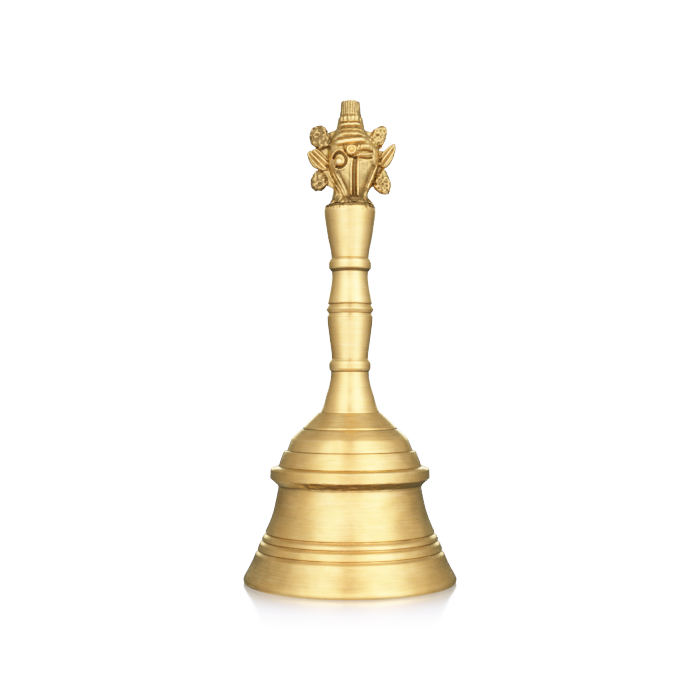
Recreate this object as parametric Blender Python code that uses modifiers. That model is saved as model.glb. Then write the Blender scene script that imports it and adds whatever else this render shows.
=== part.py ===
"""Brass puja hand bell: a turned, flared bell cup, a turned handle clamped to its crown by an eye bolt,
a cast mask finial on the handle, and a clapper hung from the eye by a wire link.

Metres, +Z up. Origin: centre of the mouth, on the plane of the lip. The mask faces -Y.
"""

import math

import bmesh
import bpy

MM = 0.001

# ---- driving dimensions, in millimetres ------------------------------------------------------
GAP = 0.3                # clearance kept between pieces that touch

LIP_R = 36.75            # widest radius of the mouth
LIP_FOOT_OUT = 35.8      # the flat foot of the lip, outer and inner radius
LIP_FOOT_IN = 33.0
CROWN_Z = 58.1           # flat top of the cup, where the handle sits
CROWN_IN_Z = 54.0        # ceiling inside the cup
CROWN_HOLE_R = 2.9       # clearance hole for the eye bolt

HANDLE_FOOT_Z = CROWN_Z + GAP
HANDLE_TOP_Z = 129.6
HANDLE_BORE_R = 2.8      # tapped bores, drawn at their clearance radius
FOOT_BORE_TOP_Z = 71.0
TANG_BORE_FOOT_Z = 119.5

FINIAL_FOOT_Z = HANDLE_TOP_Z + GAP
FINIAL_TOP_Z = 164.6
TANG_R = 2.5
TANG_FOOT_Z = 120.0

BOLT_R = 2.5             # eye bolt: shank, wire of the eye and radius of the eye's centreline
BOLT_TOP_Z = 70.0
EYE_WIRE_R = 1.2
EYE_R = 3.6
EYE_Z = 42.8
LINK_WIRE_R = 1.0        # link between eye bolt and clapper
LINK_R = 3.9
ROD_WIRE_R = 1.1         # clapper rod and its own eye
ROD_EYE_R = 3.3

WASHER_R = 5.6
WASHER_T = 1.0
NUT_FLATS = 8.0
NUT_T = 4.0

BOB_R = 7.0              # clapper bob
BOB_Z = 10.5

PIVOT_Z = EYE_Z - EYE_R                                   # link turns about the eye's lowest wire, along Y
LINK_Z = PIVOT_Z + (EYE_WIRE_R + LINK_WIRE_R + GAP) - LINK_R
ROD_PIVOT_Z = LINK_Z - LINK_R                             # clapper turns about the link's lowest wire, along X
ROD_EYE_Z = ROD_PIVOT_Z + (LINK_WIRE_R + ROD_WIRE_R + GAP) - ROD_EYE_R

STEPS_CUP = 56
STEPS_HANDLE = 40

# ---- scene ------------------------------------------------------------------------------------
for old in list(bpy.data.objects):
    bpy.data.objects.remove(old, do_unlink=True)

PARTS = bpy.data.collections.new("puja_bell")
HELPERS = bpy.data.collections.new("helpers")
bpy.context.scene.collection.children.link(PARTS)
bpy.context.scene.collection.children.link(HELPERS)


def brass(name, colour, roughness):
    mat = bpy.data.materials.new(name)
    mat.use_nodes = True
    bsdf = mat.node_tree.nodes["Principled BSDF"]
    bsdf.inputs["Base Color"].default_value = (*colour, 1.0)
    bsdf.inputs["Metallic"].default_value = 1.0
    bsdf.inputs["Roughness"].default_value = roughness
    return mat


def keep(obj, collection, material=None, smooth=35):
    """Puts an object in one collection, with one material, shaded smooth up to an angle."""
    for c in list(obj.users_collection):
        c.objects.unlink(obj)
    collection.objects.link(obj)
    if material is not None:
        obj.data.materials.clear()
        obj.data.materials.append(material)
    if obj.type == "MESH":
        obj.data.shade_smooth()
        obj.data.set_sharp_from_angle(angle=math.radians(smooth))
    if collection is HELPERS:
        obj.hide_render = True
        obj.display_type = "WIRE"
    return obj


def turned(name, profile, steps, material, closed, x=0.0, z=0.0, collection=PARTS):
    """A turned piece: the profile in (radius, height) millimetres, swept about Z by a Screw modifier.
    It runs down the outside, so that the faces look outwards."""
    mesh = bpy.data.meshes.new(name)
    points = [(r * MM, 0.0, h * MM) for r, h in profile]
    edges = [(i, i + 1) for i in range(len(points) - 1)]
    if closed:
        edges.append((len(points) - 1, 0))
    mesh.from_pydata(points, edges, [])
    obj = bpy.data.objects.new(name, mesh)
    obj.location = (x * MM, 0.0, z * MM)
    PARTS.objects.link(obj)
    screw = obj.modifiers.new("turn", "SCREW")
    screw.axis = "Z"
    screw.angle = math.tau
    screw.steps = screw.render_steps = steps
    screw.use_merge_vertices = True
    screw.merge_threshold = 0.00001
    screw.use_smooth_shade = True
    if collection is HELPERS:
        keep(obj, HELPERS)
    obj.data.materials.append(material)
    return obj


def bar(name, radius, low, high, sides, collection=PARTS):
    bpy.ops.mesh.primitive_cylinder_add(
        vertices=sides, radius=radius * MM, depth=(high - low) * MM,
        location=(0.0, 0.0, (low + high) / 2 * MM))
    obj = bpy.context.object
    obj.name = name
    return keep(obj, collection)


def ring(name, radius, wire, z, plane, major=28, minor=10, collection=PARTS):
    """A wire ring standing on edge in the XZ or YZ plane."""
    turn = (math.pi / 2, 0.0, 0.0) if plane == "XZ" else (0.0, math.pi / 2, 0.0)
    bpy.ops.mesh.primitive_torus_add(
        major_radius=radius * MM, minor_radius=wire * MM,
        major_segments=major, minor_segments=minor,
        location=(0.0, 0.0, z * MM), rotation=turn)
    obj = bpy.context.object
    obj.name = name
    return keep(obj, collection)


def ball(name, centre, size, tilt=0.0, segments=20, rings=12):
    """An ellipsoid, with half-axes in millimetres, leaned about Y by tilt degrees."""
    bpy.ops.mesh.primitive_uv_sphere_add(
        segments=segments, ring_count=rings, radius=MM,
        location=[c * MM for c in centre])
    obj = bpy.context.object
    obj.name = name
    obj.scale = size
    bpy.ops.object.transform_apply(location=False, rotation=False, scale=True)
    obj.rotation_euler = (0.0, math.radians(tilt), 0.0)
    return keep(obj, HELPERS)


def join(target, *helpers):
    for helper in helpers:
        union = target.modifiers.new("join " + helper.name, "BOOLEAN")
        union.operation = "UNION"
        union.solver = "EXACT"
        union.object = helper


polished = brass("turned brass", (0.83, 0.62, 0.27), 0.28)
cast = brass("cast brass", (0.76, 0.56, 0.24), 0.42)
wire = brass("brass wire", (0.74, 0.56, 0.27), 0.35)
steel = brass("plated steel", (0.62, 0.61, 0.58), 0.35)

# ---- bell cup -----------------------------------------------------------------------------------
# Outside, from the crown down: a stepped dome, the square flange, the neck under it, and the flared
# skirt with three turned grooves.


def groove(top_r, top_z, foot_r, foot_z, depth):
    """A turned groove: a steep cut at its upper edge and a long slope back out."""
    cut_z = top_z - 0.28 * (top_z - foot_z)
    share = (top_z - cut_z) / (top_z - foot_z)
    return [(top_r, top_z), (top_r + (foot_r - top_r) * share - depth, cut_z), (foot_r, foot_z)]


cup_outside = [
    (CROWN_HOLE_R, CROWN_Z),
    (10.9, CROWN_Z),
    (16.35, 52.75), (16.8, 52.4), (17.1, 51.9),
    (18.25, 51.1), (19.55, 49.8), (20.2, 48.8), (21.7, 45.1),
    (22.75, 44.95), (23.05, 44.5),
    (24.75, 39.6),
    (26.8, 39.35), (27.35, 38.8),
    (27.55, 35.5),
    (25.15, 33.4), (24.8, 32.7),
    (25.1, 30.2), (25.7, 27.2), (26.75, 23.1), (28.35, 19.0),
    *groove(29.15, 17.3, 29.95, 15.7, 0.35),
    *groove(30.3, 14.8, 30.95, 13.3, 0.35),
    *groove(31.8, 11.4, 32.5, 9.9, 0.35),
    (33.8, 7.0), (35.0, 4.7), (36.45, 2.1),
    (LIP_R, 1.2), (36.55, 0.35), (LIP_FOOT_OUT, 0.0),
]
cup_inside = [
    (LIP_FOOT_IN, 0.0), (32.6, 0.5),
    (30.2, 6.4), (28.7, 9.9), (26.7, 14.6), (24.9, 19.6), (23.5, 25.0), (22.5, 30.5),
    (22.0, 35.5), (21.3, 40.0), (19.6, 44.4), (16.9, 48.0), (13.2, 51.2), (9.4, 53.1),
    (6.6, CROWN_IN_Z), (CROWN_HOLE_R, CROWN_IN_Z),
]
turned("bell_cup", cup_outside + cup_inside, STEPS_CUP, polished, closed=True)

# ---- handle -------------------------------------------------------------------------------------
# Three waisted lengths with two square collars and a triple bead at the waist. The foot is tapped for
# the eye bolt, and the top is bored for the finial's tang.
handle_outside = [
    (HANDLE_BORE_R, HANDLE_TOP_Z),
    (7.7, HANDLE_TOP_Z), (8.55, 129.0), (8.95, 128.0), (8.93, 127.0),
    (8.4, 122.9), (7.75, 118.7), (6.9, 114.5), (6.55, 112.2), (6.45, 111.1),
    (6.7, 110.8), (7.2, 110.2), (7.35, 109.6), (7.35, 107.6), (6.3, 106.4),
    (6.28, 104.9), (6.55, 102.1), (7.0, 99.3), (7.5, 96.7), (7.7, 95.7),
    (7.2, 94.8), (8.15, 93.5), (7.45, 91.6), (7.92, 90.8), (7.9, 90.0),
    (7.5, 86.3), (6.95, 82.2), (6.45, 78.4), (6.3, 76.6),
    (6.6, 76.0), (7.1, 75.4), (7.22, 74.9), (7.2, 73.1), (6.58, 72.0),
    (6.75, 69.8), (7.35, 67.0), (8.2, 64.2), (9.1, 60.9), (9.95, 58.9), (10.1, HANDLE_FOOT_Z),
]
handle = turned(
    "handle",
    [(0.0, TANG_BORE_FOOT_Z), (HANDLE_BORE_R, TANG_BORE_FOOT_Z)]
    + handle_outside
    + [(HANDLE_BORE_R, HANDLE_FOOT_Z), (HANDLE_BORE_R, FOOT_BORE_TOP_Z), (0.0, FOOT_BORE_TOP_Z)],
    STEPS_HANDLE, polished, closed=False)

# ---- finial -------------------------------------------------------------------------------------
# One casting from a two-part mould: a shield-shaped mask on a short neck, a banded turban with a
# stub on top, and on each side two round lobes with a pointed leaf between them.
neck = [
    (0.0, 151.0), (5.8, 151.0), (5.9, 134.0), (6.3, 132.4), (6.9, 131.0), (7.6, FINIAL_FOOT_Z),
    (TANG_R, FINIAL_FOOT_Z), (TANG_R, TANG_FOOT_Z), (0.0, TANG_FOOT_Z),
]
finial = turned("finial", neck, 28, cast, closed=False)
head = ball("head", (0.0, 0.0, 146.4), (8.6, 6.6, 9.6), segments=24, rings=14)
turban = turned(
    "turban",
    [(0.0, FINIAL_TOP_Z), (2.9, FINIAL_TOP_Z), (3.4, 164.0), (3.6, 161.2), (4.6, 159.8), (4.75, 157.6),
     (5.2, 155.8), (6.0, 154.4), (7.0, 152.4), (7.4, 150.6), (6.6, 149.4), (0.0, 149.4)],
    24, cast, closed=False, collection=HELPERS)
lobes = [
    ball("lobe_upper_left", (-10.4, 0.0, 153.3), (3.5, 2.0, 4.1), tilt=-28, segments=16, rings=10),
    ball("lobe_upper_right", (9.9, 0.0, 153.4), (2.9, 2.0, 3.8), tilt=28, segments=16, rings=10),
    ball("leaf_left", (-10.9, 0.0, 144.8), (2.8, 1.7, 5.4), tilt=-43, segments=16, rings=10),
    ball("leaf_right", (11.7, 0.0, 146.1), (3.0, 1.7, 5.8), tilt=38, segments=16, rings=10),
    ball("lobe_lower_left", (-11.0, 0.0, 138.0), (3.1, 2.0, 3.5), tilt=15, segments=16, rings=10),
    ball("lobe_lower_right", (11.0, 0.0, 137.6), (3.2, 2.0, 4.2), tilt=-18, segments=16, rings=10),
    ball("web_upper", (0.0, 0.0, 149.6), (11.6, 1.5, 4.6), segments=24, rings=10),
    ball("web_lower", (0.0, 0.0, 140.8), (12.4, 1.4, 5.0), segments=24, rings=10),
]
join(finial, head, turban, *lobes)

# ---- clamp: eye bolt, washer and nut ------------------------------------------------------------
eye_bolt = bar("eye_bolt", BOLT_R, EYE_Z + EYE_R - 0.1, BOLT_TOP_Z, 20)
eye_bolt.data.materials.append(steel)
join(eye_bolt, ring("eye", EYE_R, EYE_WIRE_R, EYE_Z, "YZ", collection=HELPERS))

washer_low = CROWN_IN_Z - GAP - WASHER_T
turned(
    "clamp_washer",
    [(BOLT_R + GAP, washer_low + WASHER_T), (WASHER_R, washer_low + WASHER_T),
     (WASHER_R, washer_low), (BOLT_R + GAP, washer_low)],
    28, steel, closed=True)

nut_low = washer_low - GAP - NUT_T
nut = bar("clamp_nut", NUT_FLATS / math.sqrt(3.0), nut_low, nut_low + NUT_T, 6)
nut.data.materials.append(steel)
nut_bore = bar("nut_bore", BOLT_R + GAP, nut_low - 1.0, nut_low + NUT_T + 1.0, 20, HELPERS)
cut = nut.modifiers.new("bore", "BOOLEAN")
cut.operation, cut.solver, cut.object = "DIFFERENCE", "EXACT", nut_bore

# ---- link: it turns about the eye's lowest wire -------------------------------------------------
link_joint = bpy.data.objects.new("link_joint", None)
link_joint.location = (0.0, 0.0, PIVOT_Z * MM)
HELPERS.objects.link(link_joint)
link = ring("clapper_link", LINK_R, LINK_WIRE_R, LINK_Z, "XZ")
link.data.materials.append(wire)
link.parent = link_joint
link.location = (0.0, 0.0, (LINK_Z - PIVOT_Z) * MM)

# ---- clapper: rod with its own eye, riveted under a pear-shaped bob ------------------------------
clapper_joint = bpy.data.objects.new("clapper_joint", None)
clapper_joint.parent = link_joint
clapper_joint.location = (0.0, 0.0, (ROD_PIVOT_Z - PIVOT_Z) * MM)
HELPERS.objects.link(clapper_joint)


def hang(obj):
    """Parents a piece of the clapper to its joint and leaves it where it is."""
    obj.location.z -= ROD_PIVOT_Z * MM
    obj.parent = clapper_joint
    return obj


bob_top, bob_foot = BOB_Z + 8.4, BOB_Z - 6.9
rod_profile = [
    (0.0, ROD_EYE_Z - ROD_EYE_R + 0.4), (ROD_WIRE_R, ROD_EYE_Z - ROD_EYE_R + 0.4),
    (ROD_WIRE_R, bob_foot - GAP),
    (2.3, bob_foot - GAP), (2.3, bob_foot - GAP - 0.4), (1.5, bob_foot - GAP - 1.1), (0.0, bob_foot - GAP - 1.3),
]
rod = turned("clapper_rod", rod_profile, 16, wire, closed=False)
rod_eye = ring("rod_eye", ROD_EYE_R, ROD_WIRE_R, ROD_EYE_Z, "YZ", collection=HELPERS)
join(rod, rod_eye)
hang(rod)
hang(rod_eye)

bob_side = [
    (BOB_R * math.cos(math.radians(a)), BOB_Z + BOB_R * math.sin(math.radians(a)))
    for a in range(60, -71, -13)
]
bob = turned(
    "clapper_bob",
    [(ROD_WIRE_R + GAP, bob_top), (2.5, bob_top), (2.8, bob_top - 0.4), (2.8, bob_top - 1.4), (2.6, bob_top - 1.8)]
    + bob_side
    + [(2.2, bob_foot), (ROD_WIRE_R + GAP, bob_foot)],
    28, polished, closed=True)
hang(bob)

bpy.context.view_layer.update()
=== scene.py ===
"""Brass puja hand bell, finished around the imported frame: turned cup and handle, cast mask finial, eye bolt,
washer, nut, link and clapper. Shapes are in millimetres here and turned into metres when a mesh is made."""

import math

import bpy
import numpy as np
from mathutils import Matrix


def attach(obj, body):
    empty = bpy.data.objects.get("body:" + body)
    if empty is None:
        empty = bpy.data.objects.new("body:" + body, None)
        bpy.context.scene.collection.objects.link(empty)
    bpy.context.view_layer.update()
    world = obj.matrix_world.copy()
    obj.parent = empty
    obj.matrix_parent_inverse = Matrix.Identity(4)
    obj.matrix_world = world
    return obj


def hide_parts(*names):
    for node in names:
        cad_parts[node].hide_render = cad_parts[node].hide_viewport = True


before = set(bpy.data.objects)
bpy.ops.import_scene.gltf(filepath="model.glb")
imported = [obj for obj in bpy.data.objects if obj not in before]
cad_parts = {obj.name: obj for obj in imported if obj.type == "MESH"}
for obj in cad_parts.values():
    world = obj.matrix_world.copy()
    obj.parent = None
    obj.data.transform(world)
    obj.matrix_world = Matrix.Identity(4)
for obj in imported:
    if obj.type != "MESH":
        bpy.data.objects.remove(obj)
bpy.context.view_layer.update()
MM = 0.001
scene = bpy.context.scene


# ---- noise -------------------------------------------------------------------------------------
def lattice(i, seed):
    """A fixed random number from -1 to 1 for each lattice point."""
    h = (i[..., 0] * 73856093) ^ (i[..., 1] * 19349663) ^ (i[..., 2] * 83492791) ^ (seed * 2654435761 % 4294967291)
    h = (h ^ (h >> 13)) & 0xFFFFFFFF
    h = (h * 1274126177) & 0xFFFFFFFF
    h = (h ^ (h >> 16)) & 0xFFFFFFFF
    h = (h * 2246822519) & 0xFFFFFFFF
    h = h ^ (h >> 15)
    return (h & 0xFFFFFF) / float(0x7FFFFF) - 1.0


def noise(points, size, seed=0):
    """Smooth value noise from -1 to 1 at points (n, 3), with lumps about size across."""
    q = points / np.asarray(size, dtype=float)
    i = np.floor(q).astype(np.int64)
    f = q - i
    f = f * f * f * (f * (f * 6 - 15) + 10)
    total = 0.0
    for a in (0, 1):
        wa = f[..., 0] if a else 1 - f[..., 0]
        for b in (0, 1):
            wb = f[..., 1] if b else 1 - f[..., 1]
            for c in (0, 1):
                wc = f[..., 2] if c else 1 - f[..., 2]
                total = total + wa * wb * wc * lattice(i + np.array([a, b, c]), seed)
    return total


def cloud(points, size, seed=0, octaves=3):
    out, amount, whole = 0.0, 1.0, 0.0
    for k in range(octaves):
        out = out + amount * noise(points + 7.3 * k, np.asarray(size, dtype=float) / 2**k, seed + k)
        whole += amount
        amount *= 0.5
    return out / whole


def step(x, low, high):
    t = np.clip((x - low) / (high - low), 0.0, 1.0)
    return t * t * (3 - 2 * t)


# ---- meshes ------------------------------------------------------------------------------------
def mesh_piece(name, v, quads, tris=None, attributes=None, index=None):
    """A smooth-shaded object from vertices in millimetres. Attributes hold a number or a vector a vertex."""
    mesh = bpy.data.meshes.new(name)
    tris = np.zeros((0, 3), int) if tris is None else np.asarray(tris, int)
    quads = np.asarray(quads, int).reshape(-1, 4)
    loops = np.concatenate([quads.ravel(), tris.ravel()]).astype(np.int32)
    sizes = np.concatenate([np.full(len(quads), 4), np.full(len(tris), 3)]).astype(np.int32)
    starts = np.concatenate([[0], np.cumsum(sizes)[:-1]]).astype(np.int32)
    mesh.vertices.add(len(v))
    mesh.vertices.foreach_set("co", (np.asarray(v) * MM).astype(np.float32).ravel())
    mesh.loops.add(len(loops))
    mesh.loops.foreach_set("vertex_index", loops)
    mesh.polygons.add(len(sizes))
    mesh.polygons.foreach_set("loop_start", starts)
    mesh.update(calc_edges=True)
    mesh.polygons.foreach_set("use_smooth", np.ones(len(sizes), bool))
    if index is not None:
        mesh.polygons.foreach_set("material_index", np.asarray(index, np.int32))
    for key, value in (attributes or {}).items():
        value = np.asarray(value, np.float32)
        if value.ndim == 1:
            mesh.attributes.new(key, "FLOAT", "POINT").data.foreach_set("value", value)
        else:
            mesh.attributes.new(key, "FLOAT_VECTOR", "POINT").data.foreach_set("vector", value.ravel())
    mesh.validate()
    obj = bpy.data.objects.new(name, mesh)
    scene.collection.objects.link(obj)
    return obj


def spline(points, per=48):
    """A Catmull-Rom curve through points, sampled closely."""
    p = np.asarray(points, float)
    if len(p) == 2:
        t = np.linspace(0, 1, per + 1)[:, None]
        return p[0] * (1 - t) + p[1] * t
    ends = np.vstack([2 * p[0] - p[1], p, 2 * p[-1] - p[-2]])
    out = []
    for a, b, c, d in zip(ends, ends[1:], ends[2:], ends[3:]):
        ka, kb, kc = (max(math.sqrt(np.linalg.norm(y - x)), 1e-6) for x, y in ((a, b), (b, c), (c, d)))
        t = np.linspace(0, 1, per + 1)[:-1, None]
        mb = (c - b) + kb * ((b - a) / ka - (c - a) / (ka + kb))
        mc = (c - b) + kb * ((d - c) / kc - (d - b) / (kb + kc))
        out.append((2 * t**3 - 3 * t**2 + 1) * b + (t**3 - 2 * t**2 + t) * mb
                   + (-2 * t**3 + 3 * t**2) * c + (t**3 - t**2) * mc)
    return np.vstack([*out, p[-1:]])


def outline(points, closed, widest=0.5, first=0.05, grow=1.45):
    """Points along a profile. A corner is (r, z, round[, widest]): round is how far from it its rounding
    starts, and widest the spacing after it. A plain (r, z) is passed smoothly."""
    n = len(points)
    corners = [k for k in range(n) if len(points[k]) > 2]
    if closed:
        order = [k % n for k in range(corners[0], corners[0] + n + 1)]
    else:
        order = list(range(n))
    points = [points[k] for k in order]
    ends = [k for k in range(len(points)) if len(points[k]) > 2 or k in (0, len(points) - 1)]
    cut = [(points[k][2] if len(points[k]) > 2 else 0.0) for k in ends]
    runs = []
    for i, (a, b) in enumerate(zip(ends, ends[1:])):
        curve = spline([q[:2] for q in points[a:b + 1]])
        s = np.concatenate([[0], np.cumsum(np.linalg.norm(np.diff(curve, axis=0), axis=1))])
        low = min(cut[i], 0.48 * s[-1])
        high = s[-1] - min(cut[i + 1], 0.48 * s[-1])
        top = points[a][3] if len(points[a]) > 3 else (1.6 if b == a + 1 else widest)
        half, h, at = (high - low) / 2, min(first, (high - low) / 4), 0.0
        steps = [0.0]
        while at + h < half:
            at += h
            steps.append(at)
            h = min(h * grow, top)
        if half - steps[-1] < h * 0.5 and len(steps) > 1:
            steps.pop()
        where = [low + q for q in steps] + [low + half] + [high - q for q in reversed(steps)]
        runs.append(np.column_stack([np.interp(where, s, curve[:, c]) for c in (0, 1)]))
    out = []
    count = len(runs)
    for i, run in enumerate(runs):
        out.extend(run)
        follower = runs[(i + 1) % count] if (closed or i + 1 < count) else None
        if follower is None:
            continue
        a, c = run[-1], follower[0]
        corner = np.array(points[ends[i + 1]][:2], float)
        if np.linalg.norm(a - c) < 1e-4:
            out.pop()
            continue
        for t in (0.17, 0.34, 0.5, 0.66, 0.83):
            out.append((1 - t) ** 2 * a + 2 * t * (1 - t) * corner + t * t * c)
    return np.array(out)


def profile_facts(p, closed, reach=0.7):
    """Arc length along the profile, and how hollow it is there: 0 on an open face, towards 1 in a crease."""
    q = np.vstack([p, p[:1]]) if closed else p
    s = np.concatenate([[0], np.cumsum(np.linalg.norm(np.diff(q, axis=0), axis=1))])
    even = np.arange(0, s[-1], 0.04)
    d = np.column_stack([np.interp(even, s, q[:, c]) for c in (0, 1)])
    hollow = 0.0
    tangent = np.gradient(d, axis=0)
    tangent /= np.linalg.norm(tangent, axis=1)[:, None] + 1e-9
    outward = np.column_stack([-tangent[:, 1], tangent[:, 0]])
    for width, share in ((reach, 0.5), (reach * 0.4, 0.5)):
        k = max(int(width / 0.04), 1)
        kernel = np.hanning(2 * k + 3)[1:-1]
        kernel /= kernel.sum()
        wide = np.pad(d, ((k, k), (0, 0)), mode="wrap" if closed else "edge")
        mean = np.column_stack([np.convolve(wide[:, c], kernel, "valid") for c in (0, 1)])
        mean = mean[: len(d)]
        hollow = hollow + share * np.sum((mean - d) * outward, axis=1) / (0.11 * width)
    return s[: len(p)], np.interp(s[: len(p)], even, np.clip(hollow, 0, 1))


def turned(name, profile, sides, closed, shape=None, inside=None, widest=0.5, first=0.05, ring_r=0.8, reach=0.7):
    """A turned piece. The profile runs down its outside. shape(points, r, z, angle) may move points of it
    off the lathe's form. inside(r, z) is true for the faces that take the second material."""
    p = outline(profile, closed, widest, first)
    arc, hollow = profile_facts(p, closed, reach)
    rings = len(p)
    angle = np.arange(sides) / sides * math.tau
    r, z = p[:, 0:1] + 0 * angle, p[:, 1:2] + 0 * angle
    ca, sa = np.cos(angle) + 0 * r, np.sin(angle) + 0 * r
    v = np.stack([r * ca, r * sa, z], axis=-1).reshape(-1, 3)
    cavity = np.repeat(hollow, sides)
    ring = np.stack([ring_r * ca, ring_r * sa, arc[:, None] + 0 * r], axis=-1).reshape(-1, 3)
    if shape is not None:
        v, more = shape(v, r.ravel(), z.ravel(), np.tile(angle, rings))
        cavity = np.clip(cavity + more, 0, 1)
    j = np.arange(sides)
    i = np.arange(rings if closed else rings - 1)[:, None]
    a, b = i * sides + j, ((i + 1) % rings) * sides + j
    a2, b2 = i * sides + (j + 1) % sides, ((i + 1) % rings) * sides + (j + 1) % sides
    quads = np.stack([a, b, b2, a2], axis=-1)
    tris = []
    index = None
    if inside is not None:
        mid = (p + np.roll(p, -1, axis=0)) / 2
        index = np.repeat([1 if inside(*m) else 0 for m in mid[: len(i)]], sides)
    quads = quads.reshape(-1, 4)
    if not closed:
        for row, flip in ((0, False), (rings - 1, True)):
            if p[row, 0] < 1e-6:  # the ring on the axis is drawn into one point
                quads = quads[~np.all((quads // sides == row) | (quads // sides == (row + 1 if not flip else row - 1)), axis=1)]
                other = row + 1 if not flip else row - 1
                centre = row * sides
                o = other * sides + j
                o2 = other * sides + (j + 1) % sides
                tri = np.stack([np.full(sides, centre), o, o2], axis=-1)
                tris.append(tri[:, ::-1] if flip else tri)
    tris = np.vstack(tris) if tris else np.zeros((0, 3), int)
    used = np.zeros(len(v), bool)
    used[quads.ravel()] = True
    used[tris.ravel()] = True
    new = np.cumsum(used) - 1
    return mesh_piece(name, v[used], new[quads], new[tris],
                      {"ring": ring[used], "cavity": cavity[used]}, index)


def surface_net(field, low, h):
    """The surface where field is zero, as quads that face the positive side."""
    f = field
    nx, ny, nz = f.shape
    inside = f < 0
    corner = [(a, b, c) for a in (0, 1) for b in (0, 1) for c in (0, 1)]

    def part(arr, o):
        return arr[o[0]:nx - 1 + o[0], o[1]:ny - 1 + o[1], o[2]:nz - 1 + o[2]]

    count = np.zeros((nx - 1, ny - 1, nz - 1), np.int8)
    for o in corner:
        count += part(inside, o)
    active = (count > 0) & (count < 8)
    cells = np.argwhere(active)
    index = np.full(active.shape, -1, np.int64)
    index[active] = np.arange(len(cells))
    value = {o: part(f, o)[active].astype(float) for o in corner}
    total, n = np.zeros((len(cells), 3)), np.zeros(len(cells))
    for o in corner:
        for axis in range(3):
            if o[axis]:
                continue
            e = list(o)
            e[axis] = 1
            fa, fb = value[o], value[tuple(e)]
            cross = (fa < 0) != (fb < 0)
            t = fa[cross] / (fa[cross] - fb[cross])
            p = np.tile(np.array(o, float), (cross.sum(), 1))
            p[:, axis] = t
            total[cross] += p
            n[cross] += 1
    v = np.asarray(low) + h * (cells + total / n[:, None])
    quads = []
    for axis in range(3):
        u, w = [k for k in range(3) if k != axis]
        a = inside[tuple(slice(0, -1) if k == axis else slice(1, -1) for k in range(3))]
        b = inside[tuple(slice(1, None) if k == axis else slice(1, -1) for k in range(3))]
        where = np.argwhere(a != b)
        leaving = a[a != b]
        base = where.copy()
        base[:, u] += 1
        base[:, w] += 1
        ring = []
        for du, dw in ((-1, -1), (0, -1), (0, 0), (-1, 0)):
            c = base.copy()
            c[:, u] += du
            c[:, w] += dw
            ring.append(index[c[:, 0], c[:, 1], c[:, 2]])
        q = np.stack(ring, axis=-1)
        turn = leaving if axis != 1 else ~leaving
        q[~turn] = q[~turn][:, ::-1]
        quads.append(q)
    return v, np.vstack(quads)


def relax(v, quads, rounds, share=0.5):
    """Moves each vertex towards its neighbours' mean."""
    a = np.concatenate([quads[:, k] for k in range(4)])
    b = np.concatenate([quads[:, (k + 1) % 4] for k in range(4)])
    n = np.bincount(a, minlength=len(v)) + np.bincount(b, minlength=len(v))
    v = v.copy()
    for _ in range(rounds):
        mean = np.column_stack([
            (np.bincount(a, v[b, c], len(v)) + np.bincount(b, v[a, c], len(v))) / n for c in range(v.shape[1])])
        v += share * (mean - v)
    return v


def face_out(v, quads):
    e = v[quads[:, 2]] - v[quads[:, 0]]
    g = v[quads[:, 3]] - v[quads[:, 1]]
    n = np.cross(e, g)
    out = np.zeros_like(v)
    for k in range(4):
        for c in range(3):
            out[:, c] += np.bincount(quads[:, k], n[:, c], len(v))
    return out / (np.linalg.norm(out, axis=1)[:, None] + 1e-12)


def main_body(v, quads):
    """Drops loose crumbs and closed pockets: every part of the surface not joined to a large one."""
    a, b = np.vstack([quads[:, [0, 1]], quads[:, [1, 2]], quads[:, [2, 3]]]).T
    label = np.arange(len(v))
    while True:
        low = np.minimum(label[a], label[b])
        new = label.copy()
        for ends in (a, b, label[a], label[b]):
            np.minimum.at(new, ends, low)
        new = new[new]
        if np.array_equal(new, label):
            break
        label = new
    keep = np.bincount(label, minlength=len(v))[label] > 0.02 * len(v)
    return v[keep], (np.cumsum(keep) - 1)[quads[keep[quads[:, 0]]]]


def carved(name, low, high, h, field, smooth=2, depth=(0.22, 0.6), more=None):
    """A cast or forged piece from a distance field over the box low to high, sampled every h."""
    axes = [np.arange(a, b + h, h) for a, b in zip(low, high)]
    x, y, z = (axes[0][:, None, None], axes[1][None, :, None], axes[2][None, None, :])
    v, quads = main_body(*surface_net(field(x, y, z), low, h))
    v = relax(v, quads, smooth, 0.5)
    normal = face_out(v, quads)
    near = relax(v, quads, 7, 0.6)
    wide = relax(near, quads, 45, 0.6)
    cavity = np.clip(np.sum((near - v) * normal, axis=1) / depth[0] * 0.55
                     + np.sum((wide - v) * normal, axis=1) / depth[1] * 0.6, -1, 1)
    if more is not None:
        cavity = cavity + more(v)
    crest = np.clip(-cavity, 0, 1)
    return mesh_piece(name, v, quads, None, {"cavity": np.clip(cavity, 0, 1), "crest": crest})


# ---- distance fields ---------------------------------------------------------------------------
def join(a, b, k):
    t = np.clip(0.5 + 0.5 * (b - a) / k, 0, 1)
    return b * (1 - t) + a * t - k * t * (1 - t)


def ellipsoid(x, y, z, centre, size):
    px, py, pz = x - centre[0], y - centre[1], z - centre[2]
    k0 = np.sqrt((px / size[0]) ** 2 + (py / size[1]) ** 2 + (pz / size[2]) ** 2)
    k1 = np.sqrt((px / size[0] ** 2) ** 2 + (py / size[1] ** 2) ** 2 + (pz / size[2] ** 2) ** 2)
    return k0 * (k0 - 1) / (k1 + 1e-9)


def torus(a, b, c, major, minor):
    """A ring in the plane of a and b, with c across it."""
    return np.sqrt((np.sqrt(a * a + b * b) - major) ** 2 + c * c) - minor


def rod_field(x, y, z, radius, low, high, edge=0.15):
    q = np.sqrt(x * x + y * y) - radius + edge
    w = np.maximum(low - z, z - high) + edge
    return np.sqrt(np.maximum(q, 0) ** 2 + np.maximum(w, 0) ** 2) + np.minimum(np.maximum(q, w), 0) - edge


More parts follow.
